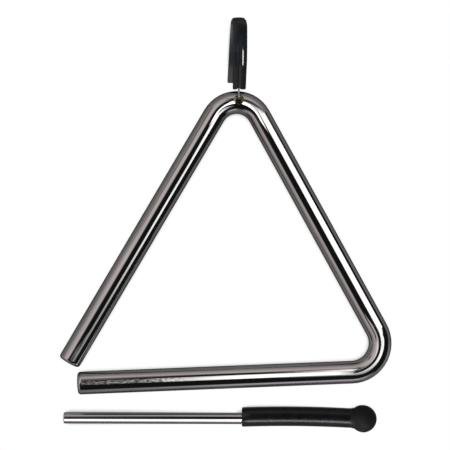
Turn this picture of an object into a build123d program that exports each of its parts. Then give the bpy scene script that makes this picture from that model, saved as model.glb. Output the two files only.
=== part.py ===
"""Musical triangle with finger strap and beater, laid flat on a table. Sizes in mm, +Z up, +Y to the apex."""
import os
from math import asin, cos, radians, sin, sqrt, tan

from build123d import *

# Triangle bar: one round bar, bent at the apex and the right corner, open at the left corner
rod_diameter = 10.0
left_leg = 146.3  # apex corner to the cut end, along the bar's axis
right_leg = 147.9  # apex corner to right corner
bottom_bar = 141.6  # right corner to the cut end
apex_angle = 59.3
corner_angle = 63.5
bar_slope = 2.3  # the bottom bar rises to the right
apex_bend = 11.4  # radius of the bar's axis
corner_bend = 12.8
end_round = 1.2

# Hole through the apex for the line
hole_radius = 1.15
hole_side = 0.8  # to the right of the apex
hole_out = 0.9  # outward of the bar's axis
mouth_draft = 0.15

# Nylon line
line_diameter = 0.8
line_fit = 0.1  # in the hole
line_clear = 0.15  # round the bar
strand_gap = 0.5
line_lean = 50.0  # where the line passes nearest to the bar, up from the table's plane
mouth_bend = 1.45
side_bend = 1.6
strap_bend = 0.8
line_sides = 8
bead_radius = 1.3
bead_length = 2.4
bead_edge = 0.6
bead_past_neck = 0.2  # the bead's middle lies this far into the finger loop

# Finger strap: a rubber strip folded double
tail_width = 5.8  # the strip is narrower at its ends
loop_width = 6.2
strip_thickness = 1.8
strip_edge = 0.45  # chamfer along its corners
strap_reach = 37.5  # from the bar's axis to the outside of the fold
strap_side = 0.15  # the strap sits to the right of the line
loop_lean = 0.45  # and its loop leans further right
strand_fit = 0.1
tail_gap = 0.5  # from the line's side run to the longer leg's end
short_leg_gap = 2.75  # how much sooner the lower leg ends
tail_length = 8.8  # flat end of the strap, where its legs are bonded
fold_radius = 2.8
neck_radius = 10.0
fold_skew = 1.1  # the lower leg lies to the left at the fold
leg_fan = 1.85  # and this much more at its end
bond_bite = 0.45
tail_steps = 2  # sections along each piece of a leg
neck_steps = 3
belly_steps = 4
fold_steps = 6
groove_width = 0.5
groove_depth = 0.35

# Beater
beater_diameter = 5.0
beater_shown = 78.45
beater_held = 35.0
held_step = 0.3  # the held end is turned down by this much, each side
tip_round = 0.4
grip_diameter = 8.6
grip_length = 53.5  # the rod's shoulder to the ball's centre
grip_setback = 0.2  # the grip's front end stops short of the shoulder
grip_offset = 0.75  # and stands to one side of the rod
grip_edge = 0.4
grip_squeeze = 0.05  # the bore is this much tighter than the held end, each side
ball_diameter = 12.0
ball_inset = 16.0  # left of the right corner
beater_gap = 9.6  # between the bottom bar and the ball

os.makedirs("parts", exist_ok=True)

rod_radius = rod_diameter / 2
line_radius = line_diameter / 2
beater_radius = beater_diameter / 2
ball_radius = ball_diameter / 2


def heading(angle):
    return Vector(cos(radians(angle)), sin(radians(angle)), 0)


# Bar's corners, first with the apex corner at zero
to_bar_end = heading(180 + bar_slope)
to_apex = heading(180 + bar_slope - corner_angle)
to_leg_end = heading(bar_slope - corner_angle - apex_angle)
corner_flat = to_apex * -right_leg
bar_end_flat = corner_flat + to_bar_end * bottom_bar
leg_end_flat = to_leg_end * left_leg
apex_down = (to_leg_end - to_apex).normalized()
crown_flat = apex_down * apex_bend * (1 / sin(radians(apex_angle / 2)) - 1)
corner_in = (to_bar_end + to_apex).normalized()
bend_centre_flat = corner_flat + corner_in * corner_bend / sin(radians(corner_angle / 2))
ball_x_flat = corner_flat.X - ball_inset
bar_y_flat = corner_flat.Y - ball_inset * tan(radians(bar_slope))
ball_y_flat = bar_y_flat - rod_radius / cos(radians(bar_slope)) - beater_gap - ball_radius

# Middle of the whole set, which becomes the origin
leg_tilt = abs(to_leg_end.Y)
left_edge = leg_end_flat.X - to_leg_end.X * end_round - leg_tilt * (rod_radius - end_round) - end_round
right_edge = bend_centre_flat.X + corner_bend + rod_radius
top_edge = crown_flat.Y + strap_reach
bottom_edge = ball_y_flat - ball_radius
apex = Vector(-(left_edge + right_edge) / 2, -(top_edge + bottom_edge) / 2, rod_radius)
corner = apex + corner_flat
bar_end = apex + bar_end_flat
leg_end = apex + leg_end_flat
crown = apex + crown_flat
hole_x = crown.X + hole_side
hole_y = crown.Y + hole_out
ball_x = apex.X + ball_x_flat
ball_y = apex.Y + ball_y_flat

# Line's route in the upright plane through the hole: out from the bar's axis, up from its middle
run_out = hole_out + hole_radius - line_radius - line_fit
hug = rod_radius + line_radius + line_clear
strand_up = line_radius + strand_gap / 2
shoulder_up = hug * tan(radians(line_lean / 2))
lean_cos = cos(radians(line_lean))
lean_sin = sin(radians(line_lean))
peak_up = (hug - run_out * lean_cos) / lean_sin
mouth_turn = radians(180 - line_lean)
mouth_up = peak_up - mouth_bend * tan(mouth_turn / 2)
mouth_round = mouth_bend - line_radius - line_fit

# Strap's fold, seen from the side: tail, neck, belly, fold and back again
half_strip = strip_thickness / 2
tail_up = strand_up + line_radius + strand_fit + half_strip
belly_up = rod_radius - half_strip
tail_out = hug + tail_gap
neck_out = tail_out + tail_length
fold_out = strap_reach - half_strip - fold_radius
neck_high = tail_up + neck_radius

# The belly's arc touches the neck's arc and the fold's, and its crown is level with the bar's: its radius and
# place follow from the length that is left between them
loop_length = fold_out - neck_out
fold_rate = 2 * (belly_up - fold_radius)
fold_rest = fold_radius**2 - belly_up**2
neck_rate = 2 * (belly_up - tail_up)
neck_rest = neck_radius**2 - (neck_high - belly_up) ** 2
rate_gap = neck_rate - fold_rate
span_term = fold_rate * loop_length
rest_term = neck_rate * fold_rest + fold_rate * (loop_length**2 - neck_rest)
fold_run = (sqrt(span_term**2 + rate_gap * rest_term) - span_term) / rate_gap
belly_radius = (fold_run**2 - fold_rest) / fold_rate
belly_low = belly_up - belly_radius
belly_out = fold_out - fold_run
neck_share = neck_radius / (neck_radius + belly_radius)
neck_end = (neck_out + (belly_out - neck_out) * neck_share, neck_high + (belly_low - neck_high) * neck_share)
belly_share = belly_radius / (belly_radius - fold_radius)
belly_end = (belly_out + (fold_out - belly_out) * belly_share, belly_low - belly_low * belly_share)
strap_x = hole_x + strap_side

# Line's whole route, from its melted end in the finger loop
bead_place = neck_end[0] + bead_past_neck
line_plane = Plane(origin=(hole_x, crown.Y, rod_radius), x_dir=(0, 1, 0), z_dir=(1, 0, 0))
upper_route = [(bead_place, strand_up), (hug, strand_up), (hug, shoulder_up), (run_out, peak_up)]
lower_route = [(out, -up) for out, up in reversed(upper_route)]
upper_bends = [strap_bend, side_bend, mouth_bend]

# Triangle bar
with BuildPart() as triangle_rod:
    with BuildLine() as rod_axis:
        FilletPolyline(leg_end, apex, corner, bar_end, radius=[apex_bend, corner_bend])
    with BuildSketch(Plane(origin=rod_axis.line @ 0, z_dir=rod_axis.line % 0)):
        Circle(rod_radius)
    sweep()
    end_faces = triangle_rod.faces().filter_by(GeomType.PLANE)
    fillet(end_faces.edges(), radius=end_round)
    mouth_plane = Plane(origin=(hole_x, hole_y, rod_radius), x_dir=(0, 1, 0), z_dir=(1, 0, 0))
    for side in (1, -1):
        with BuildSketch(mouth_plane):
            with BuildLine():
                throat = Line((hole_radius, 0), (hole_radius, side * mouth_up))
                flare_end = (hole_radius + mouth_round, side * (mouth_up + mouth_round))
                rim = (hole_radius + mouth_round + mouth_draft, side * rod_radius)
                Polyline(throat @ 1, flare_end, rim, (0, side * rod_radius), (0, 0), throat @ 0)
            make_face()
        revolve(axis=Axis((hole_x, hole_y, 0), (0, 0, 1)), mode=Mode.SUBTRACT)
triangle_rod.part.label = "triangle_rod"
export_step(triangle_rod.part, "parts/triangle_rod.step")

# Nylon line: a loop through the hole, its two ends melted into one bead
with BuildPart() as suspension_line:
    with BuildLine(line_plane) as line_route:
        FilletPolyline(upper_route + lower_route, radius=upper_bends + upper_bends[::-1])
    with BuildSketch(Plane(origin=line_route.line @ 0, z_dir=line_route.line % 0)):
        RegularPolygon(line_radius, line_sides)
    sweep()
    bead_start = bead_place - bead_length / 2
    bead_end = bead_place + bead_length / 2
    with BuildSketch(line_plane):
        with BuildLine():
            waist = Line((bead_start + bead_edge, bead_radius), (bead_end - bead_edge, bead_radius))
            Polyline(waist @ 1, (bead_end, bead_radius - bead_edge), (bead_end, 0))
            Polyline((bead_end, 0), (bead_start, 0), (bead_start, bead_radius - bead_edge), waist @ 0)
        make_face()
    revolve(axis=Axis((hole_x, crown.Y, rod_radius), (0, 1, 0)))
suspension_line.part.label = "suspension_line"
export_step(suspension_line.part, "parts/suspension_line.step")


def skew(out, up):
    """Sideways place of the strip: leaning on the upper leg, across at the fold, fanned on the lower leg."""
    if out > belly_end[0]:
        return loop_lean - fold_skew * (1 - up / belly_end[1]) / 2
    if up > 0:
        return loop_lean * min((out - tail_out) / (neck_end[0] - tail_out), 1)
    return loop_lean - fold_skew - leg_fan * (belly_end[0] - out) / (belly_end[0] - tail_out)


def strip_width(out):
    """Width of the strip, which grows from its ends to the middle of the finger loop."""
    return tail_width + (loop_width - tail_width) * min((out - tail_out) / (belly_out - tail_out), 1)


def strip_section(out, up, course_out, course_up):
    """Plane across the strip at a place on its route."""
    origin = (strap_x + skew(out, up), crown.Y + out, rod_radius + up)
    return Plane(origin=origin, x_dir=(1, 0, 0), z_dir=(0, course_out, course_up))


# Stations along the upper half of the strip's route, from the tail to the tip of the fold
with BuildLine():
    upper_tail = Line((tail_out, tail_up), (neck_out, tail_up))
    upper_neck = TangentArc((neck_out, tail_up), neck_end, tangent=(1, 0))
    belly_rise = TangentArc(neck_end, (belly_out, belly_up), tangent=upper_neck % 1)
    belly_fall = TangentArc((belly_out, belly_up), belly_end, tangent=(1, 0))
    half_fold = TangentArc(belly_end, (fold_out + fold_radius, 0), tangent=belly_fall % 1)
route_pieces = [(upper_tail, tail_steps), (upper_neck, neck_steps)]
route_pieces += [(belly_rise, belly_steps), (belly_fall, belly_steps), (half_fold, fold_steps)]
stations = []
for piece, steps in route_pieces:
    for step in range(steps):
        place = piece @ (step / steps)
        course = piece % (step / steps)
        stations.append((place.X, place.Y, course.X, course.Y))
tip = (fold_out + fold_radius, 0, 0, -1)
short_out = tail_out + short_leg_gap
short_end = (short_out, -tail_up, -1, 0)
back = []
for out, up, course_out, course_up in reversed(stations):
    if out > short_out + strip_thickness / 2:
        back.append((out, -up, -course_out, course_up))
rising = [station for station in stations if station[0] < belly_out]

# Finger strap: the strip carried round the fold, joined at the ends beside the line, with a fine groove on top
with BuildPart() as hand_strap:
    for station in stations + [tip] + back + [short_end]:
        with BuildSketch(strip_section(*station)):
            strip = Rectangle(strip_width(station[0]), strip_thickness)
            chamfer(strip.vertices(), length=strip_edge)
    loft(ruled=True)
    inner_gap = 2 * (tail_up - half_strip)
    bond_length = neck_out - short_out
    bond_middle = crown.Y + neck_out - bond_length / 2
    channel_half = line_radius + strand_fit
    bond_left = strap_x - tail_width / 2 + strip_edge
    bond_right = hole_x - channel_half
    with Locations(((bond_left + bond_right) / 2, bond_middle, rod_radius)):
        Box(bond_right - bond_left, bond_length, inner_gap + 2 * bond_bite)
    for out, up, course_out, course_up in rising:
        top = (hole_x, crown.Y + out - course_up * half_strip, rod_radius + up + course_out * half_strip)
        with BuildSketch(Plane(origin=top, x_dir=(1, 0, 0), z_dir=(0, course_out, course_up))):
            Rectangle(groove_width, 2 * groove_depth)
    loft(ruled=True, mode=Mode.SUBTRACT)
hand_strap.part.label = "hand_strap"
export_step(hand_strap.part, "parts/hand_strap.step")

# Beater: rests on its ball and on the rod's tip, so it leans a little
beater_tilt = asin((ball_radius - beater_radius) / (grip_length + beater_shown))
beater_way = Vector(-cos(beater_tilt), 0, -sin(beater_tilt))
ball_centre = Vector(ball_x, ball_y, ball_radius)
held_end = ball_centre + beater_way * (grip_length - beater_held)
sideways = Vector(0, 1, 0)
bore_plane = Plane(origin=held_end, z_dir=beater_way)
shoulder = ball_centre + beater_way * grip_length
held_radius = beater_radius - held_step

with BuildPart() as beater_rod:
    with BuildSketch(bore_plane):
        Circle(held_radius)
    extrude(amount=beater_held)
    with BuildSketch(Plane(origin=shoulder, z_dir=beater_way)):
        Circle(beater_radius)
    extrude(amount=beater_shown)
    fillet(beater_rod.faces().sort_by(Axis.X)[0].edges(), radius=tip_round)
beater_rod.part.label = "beater_rod"
export_step(beater_rod.part, "parts/beater_rod.step")

grip_front = shoulder - beater_way * grip_setback + sideways * grip_offset
grip_reach = (grip_front - ball_centre).length
grip_way = (grip_front - ball_centre).normalized()
grip_plane = Plane(origin=ball_centre, x_dir=grip_way, z_dir=grip_way.cross(sideways))
grip_radius = grip_diameter / 2
grip_start = sqrt(ball_radius**2 - grip_radius**2)

with BuildPart() as beater_grip:
    with BuildSketch(grip_plane):
        with BuildLine():
            ball_arc = ThreePointArc((-ball_radius, 0), (0, ball_radius), (grip_start, grip_radius))
            side_line = Line(ball_arc @ 1, (grip_reach - grip_edge, grip_radius))
            Polyline(side_line @ 1, (grip_reach, grip_radius - grip_edge), (grip_reach, 0), ball_arc @ 0)
        make_face()
    revolve(axis=Axis(ball_centre, grip_way))
    with BuildSketch(bore_plane):
        Circle(held_radius - grip_squeeze)
    extrude(amount=beater_held + grip_diameter, mode=Mode.SUBTRACT)
beater_grip.part.label = "beater_grip"
export_step(beater_grip.part, "parts/beater_grip.step")

print("hole axis", round(hole_x, 3), round(hole_y, 3), "crown", crown, "ball", ball_centre)
print("shoulder", shoulder, "way", beater_way)
print("corners", apex, corner, "ends", leg_end, bar_end)
print("strap x", strap_x, "belly", belly_out, belly_up, "neck", neck_out, "tail", tail_out)
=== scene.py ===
"""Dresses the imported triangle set: plated steel, nylon line, folded rubber strap and moulded grip."""

from math import atan2, cos, pi, radians, sin, sqrt

import bmesh
import bpy
from mathutils import Matrix, Vector


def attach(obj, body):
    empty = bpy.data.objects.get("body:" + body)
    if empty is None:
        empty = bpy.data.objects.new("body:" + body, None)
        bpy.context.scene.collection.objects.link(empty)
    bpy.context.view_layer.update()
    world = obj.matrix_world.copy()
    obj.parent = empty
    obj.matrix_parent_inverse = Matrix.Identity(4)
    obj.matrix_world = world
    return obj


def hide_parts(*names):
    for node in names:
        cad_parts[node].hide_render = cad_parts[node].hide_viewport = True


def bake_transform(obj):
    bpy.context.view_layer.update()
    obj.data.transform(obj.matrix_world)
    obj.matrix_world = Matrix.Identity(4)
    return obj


bl_info = {
    "name": "Triangle Set",
    "version": (1, 0, 0),
    "blender": (4, 5, 0),
    "location": "View3D > Sidebar > Triangle Set",
    "description": "Builds the soft pieces, finishes and studio of a musical triangle with strap and beater",
    "category": "Object",
}

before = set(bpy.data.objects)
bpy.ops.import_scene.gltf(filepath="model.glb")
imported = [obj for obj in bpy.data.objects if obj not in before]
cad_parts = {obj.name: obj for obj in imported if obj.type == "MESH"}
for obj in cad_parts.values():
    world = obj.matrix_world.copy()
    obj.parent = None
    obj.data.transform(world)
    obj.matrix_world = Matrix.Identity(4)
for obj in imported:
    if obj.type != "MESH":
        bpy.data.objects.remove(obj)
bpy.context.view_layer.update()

MM = 0.001

# Middle of the bar at the apex: the strap and the line are placed out and up from here
CROWN = Vector((4.951, 53.855, 5.0)) * MM
# Where the line goes through the bar, and where the beater's ball lies
HOLE_X = 5.751 * MM
HOLE_Y = 54.755 * MM
BALL = Vector((60.376, -85.355, 6.0)) * MM
BEATER_TILT = 0.026528
# Where the bar was cut, at the open corner, and the way each arm runs from there
BAR_ENDS = (
    (Vector((-65.11, -69.791, 5.0)) * MM, Vector((0.9992, 0.0402, 0.0))),
    (Vector((-69.129, -60.559, 5.0)) * MM, Vector((0.5075, 0.8617, 0.0))),
)

# Plating: the ring round the hole that is darkened with painted shade, and the rounding of a cut end's rim,
# which stays near that end
HOLE_SHADE_EDGE = (1.5 * MM, 2.2 * MM)
RIM_RUN = 1.9 * MM
RIM_DEPTH = -0.55 * MM
RIM_REACH = (5.6 * MM, 6.0 * MM)

# Nylon line: out from the bar's axis and up from its middle, in mm; it passes close under the bar
UPPER_RUN = [(18.3, 0.65), (7.0, 0.65), (5.52, 0.65), (5.52, 2.6), (1.58, 6.0), (1.55, 2.8)]
LOWER_RUN = [(1.55, -2.8), (1.58, -5.2), (5.52, -3.5), (5.52, -0.65), (7.0, -0.65), (18.3, -0.65)]
BEAD_OUT = 18.45 * MM
# How the end of the bead that meets the line is slimmed
BEAD_SLIM = (0.86, 1.0, 1.04)

# Strap in its side view: distances out from the crown and up from the middle of the bar; the heart is
# the middle of the finger loop, and a face that looks away from it is on the strip's outer side
STRIP_X = HOLE_X + 0.15 * MM
STRIP_THICKNESS = 1.8 * MM
TAIL_OUT = 5.6 * MM
SHORT_OUT = 8.8 * MM
NECK_OUT = 14.85 * MM
HEART_OUT = 22.0 * MM
BELLY_OUT = 26.484 * MM
FOLD_OUT = 33.8 * MM
TAIL_UP = 2.05 * MM
NECK_RADIUS = 10.0 * MM
BELLY_RADIUS = 24.0 * MM
BELLY_LOW = 4.1 * MM - BELLY_RADIUS
NECK_TURN = atan2(BELLY_OUT - NECK_OUT, TAIL_UP + NECK_RADIUS - BELLY_LOW)
FOLD_TURN = atan2(FOLD_OUT - BELLY_OUT, -BELLY_LOW)
NECK_END_OUT = NECK_OUT + NECK_RADIUS * sin(NECK_TURN)
BELLY_END_OUT = BELLY_OUT + BELLY_RADIUS * sin(FOLD_TURN)
BELLY_END_UP = BELLY_LOW + BELLY_RADIUS * cos(FOLD_TURN)
FOLD_RADIUS = sqrt(BELLY_END_UP**2 + (FOLD_OUT - BELLY_END_OUT) ** 2)
TIP_OUT = FOLD_OUT + FOLD_RADIUS + STRIP_THICKNESS / 2
# Sections along each run of the strap
TAIL_STEPS = 6
NECK_STEPS = 6
BELLY_STEPS = 18
FOLD_STEPS = 24
SHORT_STEPS = 4
# Strap across its width: lengthwise cuts in mm, closest at the crease, and the form of the two lobes
STRIP_CUTS = (-2.3, -1.7, -1.1, -0.75, -0.45, -0.15, 0.25, 0.75, 1.25, 1.75, 2.25)
CREASE = -0.45 * MM
CREASE_HALF = 0.32 * MM
CREASE_END = 30.0 * MM
CREASE_FADE = 8.0 * MM
LOBE_TOP = 1.3 * MM
LOBE_HALF = 1.6 * MM
LEFT_LOBE_STEP = 0.25
LEFT_LOBE_FALL = 1.25
PLAIN_CROWN = 0.6
# The notch for the line, how far back the fold is rounded on each side, and the web between the legs
NOTCH_HALF = 0.62 * MM
NOTCH_BAND = 0.05 * MM
TIP_RUN_RIGHT = 5.0 * MM
TIP_RUN_LEFT = 1.6 * MM
BOND_INSET = 0.45 * MM
BOND_LINE_ROOM = 0.5 * MM
BOND_HEIGHT = 3.2 * MM
BOND_ROUND = 0.12 * MM
# Share of the edge rounding that the strip's inner edges get
INNER_ROUND = 0.4

# Grip: its front edge ahead of the ball's middle, and pairs of distance and radius, in mm, that round
# the front edge and swell the sleeve into the ball
GRIP_FRONT = 53.3 * MM
FRONT_EDGE = ((0.0, -0.45), (0.12, -0.18), (0.45, 0.0))
BALL_BLEND = ((1.4, 0.0), (0.7, 0.05), (0.15, 0.25))
BALL_RISE = 0.45 * MM
BALL_TIP = 0.02 * MM
GRIP_SIDES = 56
SLEEVE_STEPS = 12
BALL_STEPS = 15
# The hollow in the front face round the rod, and how the bow rises and falls towards the front
HOLLOW_RADIUS = 2.2 * MM
HOLLOW_DEPTH = 3.0 * MM
BOW_RISE = 3.3
BOW_FALL = 2.67

# Edges that turn by less than this are shaded smooth
LINE_SMOOTH = radians(60)
STRAP_SMOOTH = radians(38)
GRIP_SMOOTH = radians(50)

# Studio: where the camera stands, the brighter stretch of floor that the bottom bar mirrors, how far
# the shadow of contact reaches, the least light from any side and the tints of the lamps
CAMERA_X = -0.34 * MM
CAMERA_Y = -0.12 * MM
FLOOR_SIZE = 40.0
BELOW_BAR = (-83.0 * MM, -79.0 * MM)
ABOVE_BAR = (-64.0 * MM, -50.0 * MM)
BAR_GAIN = 2.2
SHADOW_REACH = 3.5 * MM
GLOOM = (0.0126, 0.0133, 0.014)
WHITE = (1.0, 0.985, 0.98)
COOL = (0.97, 0.95, 1.0)
# Brightness across the lamps, as pairs of place and share
EVEN = ((0.0, 0.6), (0.08, 1.0), (0.92, 1.0), (1.0, 0.6))
SMALL_EVEN = ((0.0, 0.5), (0.12, 1.0), (0.88, 1.0), (1.0, 0.5))
TOP_FADE = ((0.0, 0.6), (0.08, 1.0), (0.64, 1.0), (0.74, 0.6), (0.86, 0.05))
RISE = ((0.0, 0.1), (0.22, 0.33), (0.5, 0.9), (1.0, 1.0))
GROW_RIGHT = ((0.0, 0.05), (0.26, 0.12), (0.425, 0.6), (0.59, 1.0), (0.93, 1.0), (1.0, 0.3))
FADE_RIGHT = ((0.0, 0.5), (0.1, 1.0), (0.45, 0.9), (0.8, 0.1), (1.0, 0.0))
FLECK_LEFT = ((0.0, 1.0), (0.28, 0.8), (0.42, 0.0))
FLECK_FINENESS = (70.0, 4.0, 1.0)


def length(value, name, description):
    """A size in metres that a user may change."""
    return bpy.props.FloatProperty(
        name=name, description=description, default=value, unit="LENGTH", precision=5
    )


def colour(value, name, description):
    """A finish colour that a user may change."""
    return bpy.props.FloatVectorProperty(
        name=name, description=description, default=value, subtype="COLOR", size=3, min=0.0, max=1.0
    )


def amount(value, name, description):
    """A share from nothing to all."""
    return bpy.props.FloatProperty(
        name=name, description=description, default=value, min=0.0, max=1.0, subtype="FACTOR"
    )


class SteelSettings(bpy.types.PropertyGroup):
    """The nickel plating of the bar and the beater's rod"""

    plate_light: colour((0.46, 0.455, 0.45), "Light plating", "Brighter patches of the nickel plating")
    plate_dark: colour((0.40, 0.40, 0.405), "Dark plating", "Duller patches of the nickel plating")
    plate_edge: colour((0.02, 0.02, 0.022), "Edge tint", "Reflection where the bar curves out of sight")
    # Painted shade: a dark brown laid over the inside and mouth of the hole for the line
    hole_shade: colour((0.16, 0.12, 0.065), "Bored hole", "Shadowed metal in the hole for the line")
    polish: amount(0.045, "Polish", "Least roughness of the plating")
    haze: amount(0.03, "Haze", "Roughness that the dullest patches add")


class LineSettings(bpy.types.PropertyGroup):
    """The nylon line and its melted end"""

    line_radius: length(0.4 * MM, "Line radius", "Half the thickness of the nylon line")
    bead_radius: length(1.22 * MM, "Bead radius", "Half the thickness of the melted end")
    nylon: colour((0.88, 0.85, 0.88), "Nylon", "Tint of the clear nylon")


class StrapSettings(bpy.types.PropertyGroup):
    """The folded rubber strip"""

    tail_width: length(5.8 * MM, "End width", "Width of the rubber strip at its ends")
    loop_width: length(6.2 * MM, "Loop width", "Width of the rubber strip round the finger loop")
    thickness: length(STRIP_THICKNESS, "Thickness", "Thickness of the rubber strip")
    edge_round: length(0.6 * MM, "Edge rounding", "Rounding along the strip's outer corners")
    lobe: length(0.42 * MM, "Lobe height", "Height of the soft lobes either side of the crease")
    fold_skew: length(1.1 * MM, "Skew", "How far the lower leg lies aside at the fold")
    loop_lean: length(0.45 * MM, "Lean", "How far the loop leans to the right of the end")
    leg_fan: length(1.85 * MM, "Fan", "How much further aside the lower leg ends")
    tip_right: amount(0.31, "Right rounding", "How much narrower the fold is on the right at its tip")
    tip_left: amount(0.08, "Left rounding", "How much narrower the fold is on the left at its tip")
    notch_depth: length(0.45 * MM, "Notch depth", "Bite in the strap's end where the line leaves it")
    groove_depth: length(0.35 * MM, "Groove depth", "Depth of the crease above the line")
    rubber: colour((0.0035, 0.0045, 0.005), "Rubber", "Colour of the strap")


class BeaterSettings(bpy.types.PropertyGroup):
    """The moulded grip of the beater"""

    grip_radius: length(4.3 * MM, "Grip radius", "Half the thickness of the grip")
    ball_radius: length(6.0 * MM, "Ball radius", "Half the thickness of the ball end")
    bow: length(1.0 * MM, "Bow", "How far the grip bends aside at its middle")
    rubber: colour((0.0035, 0.0045, 0.005), "Rubber", "Colour of the grip")


class StageSettings(bpy.types.PropertyGroup):
    """The camera, the floor and the sides of the studio"""

    camera_height: length(0.7043, "Camera height", "Height of the camera above the floor")
    lens: bpy.props.FloatProperty(
        name="Lens", description="Focal length of the camera", default=127.0, unit="CAMERA"
    )
    floor: colour((0.5, 0.5, 0.5), "Floor", "Colour of the pale floor")
    floor_in_metal: amount(0.16, "Floor in metal", "How white the floor is in the plating")
    wall: colour((1.0, 0.9, 0.875), "Wall", "Warm grey side of the studio")
    low_wall: colour((0.8, 0.75, 0.8), "Low wall", "Low grey side towards the viewer")


def clear_selection():
    """Object mode with nothing selected."""
    if bpy.context.object is not None and bpy.context.object.mode != "OBJECT":
        bpy.ops.object.mode_set(mode="OBJECT")
    bpy.ops.object.select_all(action="DESELECT")


def pick(*pieces):
    """Select only these pieces, the last one active."""
    clear_selection()
    for piece in pieces:
        piece.select_set(True)
        bpy.context.view_layer.objects.active = piece


def begin(name):
    """The primitive that was just added, named and opened in edit mode."""
    piece = bpy.context.object
    piece.name = name
    piece.data.name = name
    bpy.ops.object.transform_apply(location=True, rotation=True, scale=True)
    bpy.ops.object.mode_set(mode="EDIT")
    return piece


def select_where(piece, test, kind="VERT"):
    """Select only what passes the test."""
    bpy.ops.mesh.select_mode(type=kind)
    bpy.ops.mesh.select_all(action="DESELECT")
    form = bmesh.from_edit_mesh(piece.data)
    parts = {"VERT": form.verts, "EDGE": form.edges, "FACE": form.faces}[kind]
    for part in parts:
        if test(part):
            part.select = True
    form.select_flush_mode()
    bmesh.update_edit_mesh(piece.data)


def pull(offset):
    """Extrude what is selected by an offset."""
    bpy.ops.mesh.extrude_region_move(TRANSFORM_OT_translate={"value": offset})


def grow(ratio, centre):
    """Scale what is selected about a point."""
    bpy.ops.transform.resize(value=(ratio, ratio, ratio), center_override=centre)


def carry_round(centre, axis, angle, steps):
    """Extrude what is selected along an arc, turning right-handed about the axis."""
    bpy.ops.mesh.spin(steps=steps, dupli=False, angle=-angle, center=centre, axis=axis)


def close_up(smooth_angle):
    """Merge doubles, turn the faces outwards and smooth them."""
    bpy.ops.mesh.select_all(action="SELECT")
    bpy.ops.mesh.remove_doubles(threshold=1e-6)
    bpy.ops.mesh.normals_make_consistent(inside=False)
    bpy.ops.object.mode_set(mode="OBJECT")
    bpy.ops.object.shade_smooth_by_angle(angle=smooth_angle)


def coat(piece, material):
    """Give a piece one material all over."""
    piece.data.materials.clear()
    piece.data.materials.append(material)


class Wiring:
    """The nodes of one material, lamp or world, and the links between them."""

    def __init__(self, tree):
        self.tree = tree

    def add(self, kind, **values):
        """A new node with its settings."""
        node = self.tree.nodes.new(kind)
        for key, value in values.items():
            setattr(node, key, value)
        return node

    def feed(self, socket, value):
        """Link an output to a socket, or set the socket to a plain value."""
        if isinstance(value, bpy.types.NodeSocket):
            self.tree.links.new(value, socket)
        else:
            socket.default_value = value

    def feed_all(self, node, values):
        """Feed a node's sockets in their order."""
        for socket, value in zip(node.inputs, values):
            self.feed(socket, value)

    def math(self, operation, *values):
        """A number worked out from others."""
        node = self.add("ShaderNodeMath", operation=operation)
        self.feed_all(node, values)
        return node.outputs["Value"]

    def vector(self, operation, *values):
        """A vector worked out from others."""
        node = self.add("ShaderNodeVectorMath", operation=operation)
        self.feed_all(node, values)
        return node.outputs["Vector"]

    def measure(self, operation, *values):
        """A number worked out from vectors."""
        node = self.add("ShaderNodeVectorMath", operation=operation)
        self.feed_all(node, values)
        return node.outputs["Value"]

    def split(self, vector):
        """The X, Y and Z of a vector."""
        node = self.add("ShaderNodeSeparateXYZ")
        self.feed(node.inputs["Vector"], vector)
        return node.outputs

    def spread(self, value, over, to=(0.0, 1.0), ease="LINEAR"):
        """A number carried from one range to another and kept inside it."""
        node = self.add("ShaderNodeMapRange", interpolation_type=ease)
        names = ("Value", "From Min", "From Max", "To Min", "To Max")
        for name, given in zip(names, (value, *over, *to)):
            self.feed(node.inputs[name], given)
        return node.outputs["Result"]

    def noise(self, place, scale, detail, rough):
        """Soft noise at a place."""
        node = self.add("ShaderNodeTexNoise")
        for name, given in (("Vector", place), ("Scale", scale), ("Detail", detail), ("Roughness", rough)):
            self.feed(node.inputs[name], given)
        return node.outputs["Fac"]

    def ramp(self, value, stops):
        """A run of brightness, from pairs of place and share."""
        node = self.add("ShaderNodeValToRGB")
        points = node.color_ramp.elements
        while len(points) < len(stops):
            points.new(0.5)
        for point, (place, share) in zip(points, stops):
            point.position = place
            point.color = (share, share, share, 1.0)
        self.feed(node.inputs["Fac"], value)
        return node.outputs["Color"]


class Finish(Wiring):
    """A node material in the making, patterned on the piece's own coordinates."""

    def __init__(self, name):
        self.material = bpy.data.materials.new(name)
        self.material.use_nodes = True
        super().__init__(self.material.node_tree)
        self.shader = self.tree.nodes["Principled BSDF"]
        self.place = self.add("ShaderNodeTexCoord").outputs["Object"]

    def shade(self, **values):
        """Set or link the shader's own sockets."""
        for key, value in values.items():
            self.feed(self.shader.inputs[key.replace("_", " ")], value)

    def pattern(self, scale, detail=3.0, rough=0.5):
        """Noise over the piece."""
        return self.noise(self.place, scale, detail, rough)

    def blend(self, share, first, second):
        """A mix of two colours."""
        node = self.add("ShaderNodeMix", data_type="RGBA")
        self.feed(node.inputs["Factor"], share)
        for name, shade in (("A", first), ("B", second)):
            given = shade if isinstance(shade, bpy.types.NodeSocket) else (*shade, 1.0)
            self.feed(node.inputs[name], given)
        return node.outputs["Result"]

    def from_upright(self, x, y):
        """The distance from an upright axis."""
        offset = self.vector("SUBTRACT", self.place, (x, y, 0.0))
        level = self.vector("MULTIPLY", offset, (1.0, 1.0, 0.0))
        return self.measure("LENGTH", level)

    def relief(self, height, depth, below=None):
        """Bumps of some depth, over those below."""
        node = self.add("ShaderNodeBump")
        self.feed(node.inputs["Strength"], 1.0)
        self.feed(node.inputs["Distance"], depth)
        self.feed(node.inputs["Height"], height)
        if below is not None:
            self.feed(node.inputs["Normal"], below)
        return node.outputs["Normal"]


def changed(shade, gain, lift=0.0):
    """A colour made paler or darker."""
    return tuple(gain * share + lift for share in shade)


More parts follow.
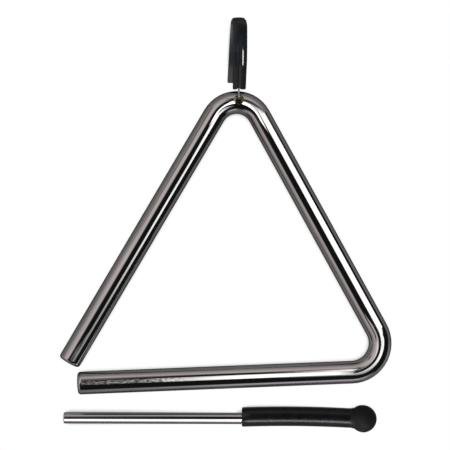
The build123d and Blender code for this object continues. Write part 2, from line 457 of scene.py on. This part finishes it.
def plated_steel(settings):
    """Bright nickel plating: slow waves in the polish, fine scuffs and slightly uneven colour."""
    finish = Finish("plated_steel")
    patches = finish.spread(finish.pattern(scale=45.0, detail=4.0), over=(0.35, 0.65))
    plate = finish.blend(patches, settings.plate_dark, settings.plate_light)
    # Painted shade darkens the plating inside the hole and round its mouth, by distance from the hole's axis
    hole_shaded = finish.spread(finish.from_upright(HOLE_X, HOLE_Y), over=HOLE_SHADE_EDGE, to=(1.0, 0.0))
    polish = (settings.polish, settings.polish + settings.haze)
    haze = finish.spread(finish.pattern(scale=120.0), over=(0.3, 0.75), to=polish)
    fine = finish.pattern(scale=900.0, detail=6.0, rough=0.7)
    scuffs = finish.spread(fine, over=(0.66, 0.8), to=(0.0, 0.16))
    bumps = finish.relief(finish.pattern(scale=55.0, detail=1.0), depth=2.2e-5)
    for centre, way in BAR_ENDS:
        along = finish.measure("DOT_PRODUCT", finish.vector("SUBTRACT", finish.place, centre), way)
        rim = finish.spread(along, over=(0.0, RIM_RUN), to=(1.0, 0.0))
        reach = finish.measure("DISTANCE", finish.place, centre)
        near = finish.spread(reach, over=RIM_REACH, to=(1.0, 0.0))
        curve = finish.math("MULTIPLY", finish.math("MULTIPLY", rim, rim), near)
        bumps = finish.relief(curve, RIM_DEPTH, bumps)
    finish.shade(
        Base_Color=finish.blend(hole_shaded, plate, settings.hole_shade),
        Metallic=1.0,
        Specular_Tint=(*settings.plate_edge, 1.0),
        Roughness=finish.math("ADD", haze, scuffs),
        Normal=finish.relief(finish.pattern(scale=2600.0, detail=2.0), depth=4.0e-7, below=bumps),
    )
    return finish.material


def clear_nylon(settings):
    """Clear nylon, slightly cloudy."""
    finish = Finish("clear_nylon")
    cloud = finish.spread(finish.pattern(scale=700.0), over=(0.3, 0.7))
    darker = changed(settings.nylon, gain=0.82)
    finish.shade(
        Base_Color=finish.blend(cloud, darker, settings.nylon),
        Transmission_Weight=0.75,
        IOR=1.53,
        Roughness=finish.spread(finish.pattern(scale=1500.0), over=(0.3, 0.7), to=(0.12, 0.28)),
        Normal=finish.relief(finish.pattern(scale=900.0, detail=2.0), depth=1.5e-5),
    )
    return finish.material


def black_rubber(name, shade, rough, grain_depth, dull_axis, dull_run):
    """Black rubber with a leathery grain and rubbed patches, which turns dull along a run of one axis."""
    finish = Finish(name)
    rubbed = finish.spread(finish.pattern(scale=160.0, detail=4.0), over=(0.35, 0.7))
    paler = changed(shade, gain=1.7, lift=0.002)
    worn = finish.spread(finish.pattern(scale=420.0, detail=5.0), over=(0.3, 0.7), to=rough)
    dull = finish.spread(finish.split(finish.place)[dull_axis], over=dull_run, to=(0.0, 0.4))
    lumps = finish.relief(finish.pattern(scale=350.0, detail=2.0), depth=4.0 * grain_depth)
    grain = finish.pattern(scale=2400.0, detail=4.0, rough=0.6)
    finish.shade(
        Base_Color=finish.blend(rubbed, shade, paler),
        Specular_IOR_Level=0.28,
        Roughness=finish.math("ADD", worn, dull),
        Normal=finish.relief(grain, grain_depth, lumps),
    )
    return finish.material


class TRIANGLE_OT_steel(bpy.types.Operator):
    """Plate the bent bar and the beater's rod"""

    bl_idname = "triangle.steel"
    bl_label = "Plated bar and rod"

    def execute(self, context):
        steel = plated_steel(context.scene.triangle_steel)
        for name in ("triangle_rod", "beater_rod"):
            coat(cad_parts[name], steel)
        return {"FINISHED"}


class TRIANGLE_OT_line(bpy.types.Operator):
    """Lead the nylon line through the bar and melt its two ends into one bead"""

    bl_idname = "triangle.line"
    bl_label = "Nylon line"

    def execute(self, context):
        settings = context.scene.triangle_line
        line = lead_line(settings)
        bead = melt_bead(settings)
        pick(bead, line)
        bpy.ops.object.join()
        bpy.ops.object.mode_set(mode="EDIT")
        close_up(LINE_SMOOTH)
        coat(line, clear_nylon(settings))
        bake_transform(line)
        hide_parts("suspension_line")
        return {"FINISHED"}


def lead_line(settings):
    """One smooth line from the bead over the bar, through the hole and back."""
    corners = UPPER_RUN + LOWER_RUN
    path = bpy.data.curves.new("nylon_line", "CURVE")
    path.dimensions = "3D"
    spline = path.splines.new("NURBS")
    spline.points.add(len(corners) - 1)
    for point, (out, up) in zip(spline.points, corners):
        point.co = (HOLE_X, CROWN.y + out * MM, CROWN.z + up * MM, 1.0)
    spline.order_u = 3
    spline.use_endpoint_u = True
    spline.resolution_u = 10
    path.bevel_depth = settings.line_radius
    path.bevel_resolution = 6
    path.use_fill_caps = True
    line = bpy.data.objects.new("nylon_line", path)
    bpy.context.scene.collection.objects.link(line)
    pick(line)
    bpy.ops.object.convert(target="MESH")
    return line


def melt_bead(settings):
    """The stop bead, slimmer on the side where the line runs into it."""
    place = (HOLE_X, CROWN.y + BEAD_OUT, CROWN.z)
    radius = settings.bead_radius
    clear_selection()
    bpy.ops.mesh.primitive_uv_sphere_add(
        segments=32, ring_count=20, radius=radius, location=place, rotation=(pi / 2, 0, 0)
    )
    bead = begin("melted_bead")
    select_where(bead, lambda vert: vert.co.y < place[1] - radius / 2)
    bpy.ops.transform.resize(value=BEAD_SLIM, center_override=place)
    bpy.ops.object.mode_set(mode="OBJECT")
    return bead


class TRIANGLE_OT_strap(bpy.types.Operator):
    """Fold the rubber strip double, skew its lower leg and crease it above the line"""

    bl_idname = "triangle.strap"
    bl_label = "Finger strap"

    def execute(self, context):
        settings = context.scene.triangle_strap
        strap = fold_strip(settings)
        crown_strip(strap, settings)
        round_strip(strap, settings)
        skew_strip(strap, settings)
        bond = bond_block(settings)
        pick(bond, strap)
        bpy.ops.object.join()
        bpy.ops.object.shade_smooth_by_angle(angle=STRAP_SMOOTH)
        rubber = black_rubber(
            "strap_rubber",
            settings.rubber,
            rough=(0.13, 0.17),
            grain_depth=1.0e-6,
            dull_axis="Z",
            dull_run=(7.0 * MM, 5.0 * MM),
        )
        coat(strap, rubber)
        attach(strap, "strap")
        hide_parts("hand_strap")
        return {"FINISHED"}


def on_strap(out, up):
    """A place on the strap's middle line."""
    return Vector((STRIP_X, CROWN.y + out, CROWN.z + up))


def fold_strip(settings):
    """Carry a flat section along the upper leg, round the fold and back along the lower leg."""
    across = Vector((1, 0, 0))
    start = on_strap(TAIL_OUT, TAIL_UP)
    belly_turn = -NECK_TURN - FOLD_TURN
    clear_selection()
    bpy.ops.mesh.primitive_plane_add(size=1, location=start, rotation=(pi / 2, 0, 0))
    bpy.context.object.scale = (settings.loop_width, settings.thickness, 1)
    strap = begin("finger_strap")
    for aside in STRIP_CUTS:
        bpy.ops.mesh.select_all(action="SELECT")
        bpy.ops.mesh.bisect(plane_co=start + across * aside * MM, plane_no=across)
    bpy.ops.mesh.select_all(action="SELECT")
    for step in range(TAIL_STEPS):
        pull((0, (NECK_OUT - TAIL_OUT) / TAIL_STEPS, 0))
    carry_round(on_strap(NECK_OUT, TAIL_UP + NECK_RADIUS), across, NECK_TURN, NECK_STEPS)
    carry_round(on_strap(BELLY_OUT, BELLY_LOW), across, belly_turn, BELLY_STEPS)
    carry_round(on_strap(FOLD_OUT, 0), across, 2 * FOLD_TURN - pi, FOLD_STEPS)
    carry_round(on_strap(BELLY_OUT, -BELLY_LOW), across, belly_turn, BELLY_STEPS)
    carry_round(on_strap(NECK_OUT, -TAIL_UP - NECK_RADIUS), across, NECK_TURN, NECK_STEPS)
    for step in range(SHORT_STEPS):
        pull((0, (SHORT_OUT - NECK_OUT) / SHORT_STEPS, 0))
    close_up(STRAP_SMOOTH)
    return strap


def crown_strip(strap, settings):
    """Press the outer face into two soft lobes with a crease above the line, which fades towards the fold."""
    heart = on_strap(HEART_OUT, 0)
    half = settings.loop_width / 2
    moves = {}
    for vert in strap.data.vertices:
        aside = vert.co.x - STRIP_X
        reach = vert.co.y - CROWN.y
        flat = Vector((0, vert.normal.y if reach > NECK_OUT else 0, vert.normal.z)).normalized()
        if (vert.co - heart).dot(flat) < 0:
            continue
        creased = 0
        if vert.co.z > CROWN.z:
            creased = min(max((CREASE_END - reach) / CREASE_FADE, 0), 1)
        if aside > CREASE:
            lobed = ((aside - LOBE_TOP) / LOBE_HALF) ** 2
        else:
            lobed = LEFT_LOBE_STEP + LEFT_LOBE_FALL * (CREASE - aside) / (half + CREASE)
        plain = PLAIN_CROWN * (aside / half) ** 2
        trough = max(1 - abs(aside - CREASE) / CREASE_HALF, 0)
        lobes = settings.lobe * (creased * lobed + (1 - creased) * plain)
        moves[vert.index] = -flat * (lobes + creased * trough * settings.groove_depth)
    for index, move in moves.items():
        strap.data.vertices[index].co += move


def round_strip(strap, settings):
    """Round the strip's long edges, the outer ones fully and the inner ones less."""
    half = settings.loop_width / 2
    heart = on_strap(HEART_OUT, 0)
    close = 0.01 * MM
    sharp = radians(60)

    def long_edge(edge, outer):
        """Whether an edge is a sharp one along the strip's side, on its outer or its inner face."""
        ends = edge.verts
        if any(abs(abs(vert.co.x - STRIP_X) - half) > close for vert in ends):
            return False
        if abs(ends[0].co.x - ends[1].co.x) > close or len(edge.link_faces) != 2:
            return False
        if edge.calc_face_angle() < sharp:
            return False
        flat = [face.normal for face in edge.link_faces if abs(face.normal.x) < 0.5]
        if len(flat) != 1:
            return False
        return ((ends[0].co - heart).dot(flat[0]) > 0) == outer

    pick(strap)
    bpy.ops.object.mode_set(mode="EDIT")
    select_where(strap, lambda edge: long_edge(edge, True), "EDGE")
    bpy.ops.mesh.bevel(offset=settings.edge_round, segments=5, affect="EDGES")
    select_where(strap, lambda edge: long_edge(edge, False), "EDGE")
    bpy.ops.mesh.bevel(offset=INNER_ROUND * settings.edge_round, segments=3, affect="EDGES")
    bpy.ops.mesh.select_all(action="SELECT")
    bpy.ops.mesh.normals_make_consistent(inside=False)
    bpy.ops.object.mode_set(mode="OBJECT")


def skew_strip(strap, settings):
    """Notch the end for the line, narrow the ends, lean the loop and fan the lower leg out to the left."""
    narrow = 1 - settings.tail_width / settings.loop_width
    for vert in strap.data.vertices:
        out = vert.co.y - CROWN.y
        up = vert.co.z - CROWN.z
        if out < TAIL_OUT + NOTCH_BAND and abs(vert.co.x - HOLE_X) < NOTCH_HALF:
            vert.co.y += settings.notch_depth
        short = max((BELLY_OUT - out) / (BELLY_OUT - TAIL_OUT), 0)
        vert.co.x -= (vert.co.x - STRIP_X) * narrow * short
        lean = settings.loop_lean
        if out > BELLY_END_OUT:
            share = min(max(up / BELLY_END_UP, -1), 1)
            lean -= settings.fold_skew * (1 - share) / 2
        elif up < 0:
            run = (BELLY_END_OUT - out) / (BELLY_END_OUT - TAIL_OUT)
            lean -= settings.fold_skew + settings.leg_fan * run
        else:
            lean *= min((out - TAIL_OUT) / (NECK_END_OUT - TAIL_OUT), 1)
        aside = vert.co.x - STRIP_X
        reach = TIP_RUN_RIGHT if aside > 0 else TIP_RUN_LEFT
        share = settings.tip_right if aside > 0 else settings.tip_left
        tip = max(out - TIP_OUT + reach, 0) / reach
        vert.co.x -= aside * share * tip * tip
        vert.co.x += lean


def bond_block(settings):
    """The web of rubber that joins the two legs beside the line."""
    left = STRIP_X - settings.tail_width / 2 + BOND_INSET
    right = HOLE_X - BOND_LINE_ROOM
    middle = Vector(((left + right) / 2, CROWN.y + (SHORT_OUT + NECK_OUT) / 2, CROWN.z))
    clear_selection()
    bpy.ops.mesh.primitive_cube_add(size=1, location=middle)
    bpy.context.object.scale = (right - left, NECK_OUT - SHORT_OUT, BOND_HEIGHT)
    bond = begin("strap_bond")
    bpy.ops.mesh.select_all(action="SELECT")
    bpy.ops.mesh.bevel(offset=BOND_ROUND, segments=2, affect="EDGES")
    close_up(STRAP_SMOOTH)
    return bond


class TRIANGLE_OT_grip(bpy.types.Operator):
    """Mould the bowed rubber grip with its ball end"""

    bl_idname = "triangle.grip"
    bl_label = "Beater grip"

    def execute(self, context):
        settings = context.scene.triangle_beater
        grip = make_grip(settings)
        rubber = black_rubber(
            "grip_rubber",
            settings.rubber,
            rough=(0.24, 0.34),
            grain_depth=6.0e-6,
            dull_axis="X",
            dull_run=(BALL.x - 6.5 * MM, BALL.x - 4.5 * MM),
        )
        coat(grip, rubber)
        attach(grip, "beater")
        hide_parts("beater_grip")
        return {"FINISHED"}


def grip_rings(radius, ball):
    """Distance ahead of the ball's middle and radius of each ring, from the front edge to the ball's tip."""
    rings = [(GRIP_FRONT - back * MM, radius + rise * MM) for back, rise in FRONT_EDGE]
    edge_end = rings[-1][0]
    for step in range(1, SLEEVE_STEPS):
        rings.append((edge_end - step * (GRIP_FRONT - ball) / SLEEVE_STEPS, radius))
    neck = sqrt(ball**2 - radius**2)
    rings += [(neck + ahead * MM, radius + rise * MM) for ahead, rise in BALL_BLEND]
    start = atan2(radius + BALL_RISE, neck)
    for step in range(BALL_STEPS):
        angle = start + (pi - start) * step / BALL_STEPS
        rings.append((ball * cos(angle), ball * sin(angle)))
    rings.append((-ball, BALL_TIP))
    return rings


def make_grip(settings):
    """Carry a ring from the front edge to the ball's tip, hollow the front and bow the sleeve."""
    rings = grip_rings(settings.grip_radius, settings.ball_radius)
    front_radius = rings[0][1]
    first = Vector((BALL.x - rings[0][0], BALL.y, BALL.z))
    clear_selection()
    bpy.ops.mesh.primitive_circle_add(
        vertices=GRIP_SIDES, radius=front_radius, fill_type="NGON", location=first, rotation=(0, pi / 2, 0)
    )
    grip = begin("beater_grip_moulded")
    bpy.ops.mesh.select_all(action="SELECT")
    for (before, wide), (along, narrow) in zip(rings, rings[1:]):
        pull((before - along, 0, 0))
        grow(narrow / wide, Vector((BALL.x - along, BALL.y, BALL.z)))
    select_where(grip, lambda face: abs(face.calc_center_median().x - first.x) < 1e-6, "FACE")
    bpy.ops.mesh.inset(thickness=front_radius - HOLLOW_RADIUS)
    pull((HOLLOW_DEPTH, 0, 0))
    close_up(GRIP_SMOOTH)
    for vert in grip.data.vertices:
        share = (BALL.x - vert.co.x) / GRIP_FRONT
        if share > 0:
            vert.co.y += settings.bow * (BOW_RISE * share - BOW_FALL * share * share)
    turn = Matrix.Rotation(-BEATER_TILT, 4, "Y")
    grip.data.transform(Matrix.Translation(BALL) @ turn @ Matrix.Translation(-BALL))
    return grip


class TRIANGLE_OT_stage(bpy.types.Operator):
    """Set the pale floor, the studio lamps and the camera straight above"""

    bl_idname = "triangle.stage"
    bl_label = "Studio"

    def execute(self, context):
        settings = context.scene.triangle_stage
        make_floor(settings)
        make_world(settings)
        make_lamps()
        make_small_lamps()
        clear_selection()
        place = (CAMERA_X, CAMERA_Y, settings.camera_height)
        bpy.ops.object.camera_add(location=place, rotation=(0, 0, 0))
        camera = context.object
        camera.data.lens = settings.lens
        camera.data.sensor_width = 36.0
        camera.data.clip_end = 100.0
        context.scene.camera = camera
        context.scene.view_settings.view_transform = "Standard"
        return {"FINISHED"}


def make_floor(settings):
    """A pale floor that is white to the camera, less so in the metal, and keeps a soft shadow."""
    clear_selection()
    bpy.ops.mesh.primitive_plane_add(size=FLOOR_SIZE, location=(0, 0, 0))
    floor = bpy.context.object
    floor.name = "floor"
    finish = Finish("pale_floor")
    mottle = finish.spread(finish.pattern(scale=30.0), over=(0.3, 0.7))
    darker = changed(settings.floor, gain=0.985)
    finish.shade(
        Base_Color=finish.blend(mottle, darker, settings.floor), Roughness=0.9, Specular_IOR_Level=0.1
    )
    rays = finish.add("ShaderNodeLightPath").outputs
    seen = finish.math("ADD", rays["Is Camera Ray"], rays["Is Transmission Ray"])
    forward = finish.split(finish.place)["Y"]
    below_bar = finish.spread(forward, over=BELOW_BAR, to=(1.0, BAR_GAIN))
    above_bar = finish.spread(forward, over=ABOVE_BAR, to=(BAR_GAIN, 1.0))
    gain = finish.math("MINIMUM", below_bar, above_bar)
    in_metal = finish.math("MULTIPLY", rays["Is Glossy Ray"], settings.floor_in_metal)
    shown = finish.math("ADD", seen, finish.math("MULTIPLY", in_metal, gain))
    near = finish.add("ShaderNodeAmbientOcclusion", samples=8)
    finish.feed(near.inputs["Distance"], SHADOW_REACH)
    open_sky = finish.spread(near.outputs["AO"], over=(0.3, 0.7))
    white = finish.math("MULTIPLY", finish.spread(shown, over=(0.0, 1.0)), open_sky)
    glow = finish.add("ShaderNodeEmission")
    finish.feed(glow.inputs["Strength"], 1.0)
    mix = finish.add("ShaderNodeMixShader")
    finish.feed_all(mix, (white, finish.shader.outputs["BSDF"], glow.outputs["Emission"]))
    finish.feed(finish.tree.nodes["Material Output"].inputs["Surface"], mix.outputs["Shader"])
    floor.data.materials.append(finish.material)


def make_world(settings):
    """A dark studio with a warm grey side, up and to the left, and a low grey one towards the viewer."""
    world = bpy.data.worlds.new("studio")
    bpy.context.scene.world = world
    world.use_nodes = True
    wires = Wiring(world.node_tree)
    back = wires.tree.nodes["Background"]
    view = wires.add("ShaderNodeTexCoord").outputs["Generated"]
    parts = wires.split(view)

    def eased(value, over, to=(0.0, 1.0)):
        """A number carried softly from one range to another."""
        return wires.spread(value, over, to, ease="SMOOTHSTEP")

    def towards(azimuth, tilt, edge):
        """Full near one direction and nothing far from it, between the cosines of two angles."""
        flat = sin(radians(tilt))
        axis = (flat * cos(radians(azimuth)), flat * sin(radians(azimuth)), cos(radians(tilt)))
        return eased(wires.measure("DOT_PRODUCT", view, axis), edge)

    left = towards(azimuth=150, tilt=60, edge=(0.68, 0.86))
    near_left = towards(azimuth=209, tilt=90, edge=(0.66, 0.84))
    far = towards(azimuth=80, tilt=90, edge=(0.6, 0.76))
    warm = wires.math("MAXIMUM", wires.math("MAXIMUM", left, near_left), far)
    warm = wires.math("MULTIPLY", warm, eased(parts["Z"], over=(0.0, 0.9), to=(0.32, 1.0)))
    dim = towards(azimuth=143, tilt=62, edge=(0.985, 0.996))
    warm = wires.math("MULTIPLY", warm, eased(dim, over=(0.0, 1.0), to=(1.0, 0.35)))
    low = towards(azimuth=272, tilt=88, edge=(0.75, 0.98))
    low = wires.math("MULTIPLY", low, eased(parts["Z"], over=(0.17, 0.42), to=(1.0, 0.0)))
    low = wires.math("MULTIPLY", low, eased(parts["X"], over=(-0.1, 0.1), to=(0.3, 1.0)))
    walls = [wires.vector("MULTIPLY", warm, settings.wall), wires.vector("MULTIPLY", low, settings.low_wall)]
    light = wires.vector("ADD", wires.vector("ADD", *walls), GLOOM)
    wires.feed(back.inputs["Color"], light)
    wires.feed(back.inputs["Strength"], 1.0)


def add_softbox(name, place, turn, size, radiance, shade, across, along):
    """A soft rectangular lamp, unseen by the camera, whose brightness falls off towards its edges."""
    clear_selection()
    bpy.ops.object.light_add(type="AREA", location=place, rotation=turn)
    lamp = bpy.context.object
    lamp.name = name
    wide, tall = size
    lamp.data.shape = "RECTANGLE"
    lamp.data.size = wide
    lamp.data.size_y = tall
    lamp.data.energy = radiance * pi * wide * tall
    lamp.data.color = shade
    lamp.visible_camera = False
    lamp.data.use_nodes = True
    wires = Wiring(lamp.data.node_tree)
    parts = wires.split(wires.add("ShaderNodeNewGeometry").outputs["Parametric"])
    glow = wires.math("MULTIPLY", wires.ramp(parts["X"], across), wires.ramp(parts["Y"], along))
    wires.feed(wires.tree.nodes["Emission"].inputs["Strength"], glow)
    return lamp


def fleck(lamp, fineness, where):
    """Break part of a lamp's light into flecks, as a creased reflector does."""
    wires = Wiring(lamp.data.node_tree)
    spot = wires.add("ShaderNodeNewGeometry").outputs["Parametric"]
    creases = wires.noise(wires.vector("MULTIPLY", spot, fineness), scale=1.0, detail=2.0, rough=0.5)
    swing = wires.spread(creases, over=(0.42, 0.62), to=(-0.85, 2.2))
    change = wires.math("MULTIPLY_ADD", swing, wires.ramp(wires.split(spot)["X"], where), 1.0)
    strength = wires.tree.nodes["Emission"].inputs["Strength"]
    smooth = strength.links[0].from_socket
    wires.feed(strength, wires.math("MULTIPLY", smooth, change))


def light_only(lamp, *pieces):
    """Keep a lamp to a few pieces, as a flag on a stand would."""
    group = bpy.data.collections.new(lamp.name + "_lit")
    for piece in pieces:
        group.objects.link(piece)
    lamp.light_linking.receiver_collection = group


def beside(start, way, out):
    """The place and the turn of a lamp that lies some way out from the middle of a leg."""
    return {"place": start + way * out, "turn": (0, 0, atan2(way.y, way.x))}


def make_lamps():
    """Large soft boxes beside the two legs, a low strip over the bottom bar and a small one over the apex."""
    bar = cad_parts["triangle_rod"]
    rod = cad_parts["beater_rod"]
    line = bpy.data.objects["nylon_line"]
    right = add_softbox(
        "right_softbox",
        **beside(Vector((0.031, 0.018, 0.3)), Vector((0.876, 0.482, 0)), out=0.3),
        size=(0.51, 0.3),
        radiance=2.7,
        shade=WHITE,
        across=EVEN,
        along=TOP_FADE,
    )
    left = add_softbox(
        "left_softbox",
        **beside(Vector((-0.032, 0.002, 0.3)), Vector((0.8617, -0.5075, 0)), out=0.232),
        size=(0.16, 0.26),
        radiance=2.5,
        shade=WHITE,
        across=EVEN,
        along=RISE,
    )
    for lamp in (right, left):
        light_only(lamp, bar, rod, line)
    strip = add_softbox(
        "bar_strip",
        place=(-0.0055, -0.0655, 0.04),
        turn=(0, 0, radians(2.3)),
        size=(0.127, 0.023),
        radiance=0.55,
        shade=WHITE,
        across=GROW_RIGHT,
        along=EVEN,
    )
    strip.data.spread = radians(80)
    fleck(strip, FLECK_FINENESS, FLECK_LEFT)
    light_only(strip, bar)
    apex = add_softbox(
        "bend_strip",
        place=(0.0105, 0.0525, 0.055),
        turn=(0, 0, 0),
        size=(0.019, 0.024),
        radiance=2.0,
        shade=WHITE,
        across=FADE_RIGHT,
        along=EVEN,
    )
    apex.data.spread = radians(130)
    light_only(apex, bar)


def make_small_lamps():
    """A soft box of its own for the beater's rod, the grip and the strap."""
    grip = bpy.data.objects["beater_grip_moulded"]
    strap = bpy.data.objects["finger_strap"]
    edges = {"shade": COOL, "across": SMALL_EVEN, "along": SMALL_EVEN}
    lamp = add_softbox(
        "beater_softbox",
        place=(-0.01, -0.189, 0.138),
        turn=(radians(38), 0, radians(10)),
        size=(0.3, 0.17),
        radiance=2.7,
        **edges,
    )
    light_only(lamp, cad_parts["beater_rod"])
    lamp = add_softbox(
        "grip_softbox",
        place=(0.03, -0.31, 0.203),
        turn=(radians(49), 0, 0),
        size=(0.26, 0.09),
        radiance=12.0,
        **edges,
    )
    light_only(lamp, grip)
    # The grip stays out of reflections, so the bar above it keeps its clean streaks
    grip.visible_glossy = False
    lamp = add_softbox(
        "strap_softbox",
        place=(0.0, -0.078, 0.3),
        turn=(0, 0, 0),
        size=(0.09, 0.19),
        radiance=45.0,
        **edges,
    )
    light_only(lamp, strap)


class VIEW3D_PT_triangle(bpy.types.Panel):
    """Lists the pieces of the set"""

    bl_label = "Triangle Set"
    bl_space_type = "VIEW_3D"
    bl_region_type = "UI"
    bl_category = "Triangle Set"

    def draw(self, context):
        for name, group, operator in PARTS:
            settings = getattr(context.scene, name)
            box = self.layout.box()
            for key in group.__annotations__:
                box.prop(settings, key)
            box.operator(operator.bl_idname)


# Where each group of settings is kept, and the operator that reads it
PARTS = (
    ("triangle_steel", SteelSettings, TRIANGLE_OT_steel),
    ("triangle_line", LineSettings, TRIANGLE_OT_line),
    ("triangle_strap", StrapSettings, TRIANGLE_OT_strap),
    ("triangle_beater", BeaterSettings, TRIANGLE_OT_grip),
    ("triangle_stage", StageSettings, TRIANGLE_OT_stage),
)


def register():
    """Make the settings, the operators and the panel known to Blender."""
    for name, group, operator in PARTS:
        bpy.utils.register_class(group)
        setattr(bpy.types.Scene, name, bpy.props.PointerProperty(type=group))
        bpy.utils.register_class(operator)
    bpy.utils.register_class(VIEW3D_PT_triangle)


def unregister():
    """Take them away again."""
    bpy.utils.unregister_class(VIEW3D_PT_triangle)
    for name, group, operator in reversed(PARTS):
        bpy.utils.unregister_class(operator)
        delattr(bpy.types.Scene, name)
        bpy.utils.unregister_class(group)


def main():
    """Build every piece and the studio."""
    register()
    bpy.ops.triangle.steel()
    bpy.ops.triangle.line()
    bpy.ops.triangle.strap()
    bpy.ops.triangle.grip()
    bpy.ops.triangle.stage()


if __name__ == "__main__":
    main()
